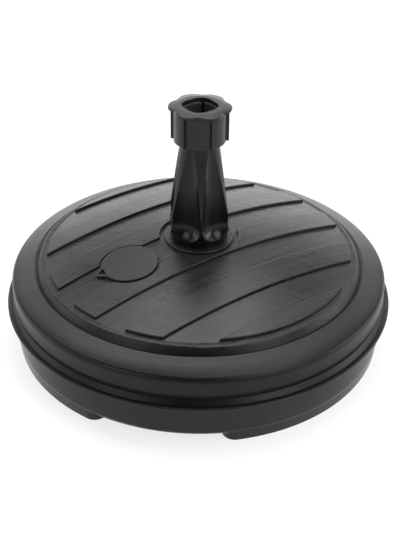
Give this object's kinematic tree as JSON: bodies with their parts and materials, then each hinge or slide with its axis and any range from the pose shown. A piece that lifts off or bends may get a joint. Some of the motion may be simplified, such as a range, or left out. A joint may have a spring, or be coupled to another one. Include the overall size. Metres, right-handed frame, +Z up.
{
  "type": "parasol base",
  "caption": "Round fillable parasol base with a domed slatted cover, a central fluted pole tube with a screw clamp, and a lift-out filler cap.",
  "frame": {"origin": "middle of the base on the ground", "axes": "+Z up along the pole; the picture's viewer stands on the -Y side, with +X to the right"},
  "size_m": [0.4499, 0.45, 0.288],
  "materials": {
    "cover": "moulded satin black, fine stipple and wood-grain boards",
    "pan": "moulded satin black",
    "cap": "smooth moulded black",
    "tube": "smooth semi-gloss black",
    "collet": "smooth moulded black",
    "nut": "moulded satin black"
  },
  "bodies": {
    "base": {"lower_shell": "pan", "upper_shell": "cover", "pole_tube": "tube"},
    "collet": {"clamp_collet": "collet"},
    "nut": {"clamp_nut": "nut"},
    "cap": {"filler_cap": "cap"}
  },
  "joints": [
    {"name": "collet_slide", "type": "slide", "parent": "base", "child": "collet", "axis": [0, 0, 1], "range_m": [0, 0.0091]},
    {"name": "nut_turn", "type": "hinge", "parent": "collet", "child": "nut", "pos_m": [0, 0, 0.2715], "axis": [0, 0, 1], "range_deg": [0, 540]},
    {"name": "cap_lift", "type": "slide", "parent": "base", "child": "cap", "axis": [-0.1035, -0.0738, 0.9919], "range_m": [0, 0.06]}
  ],
  "couplings": [
    {"joint": "collet_slide", "follows": "nut_turn", "m_per_rad": 0.00095493}
  ]
}
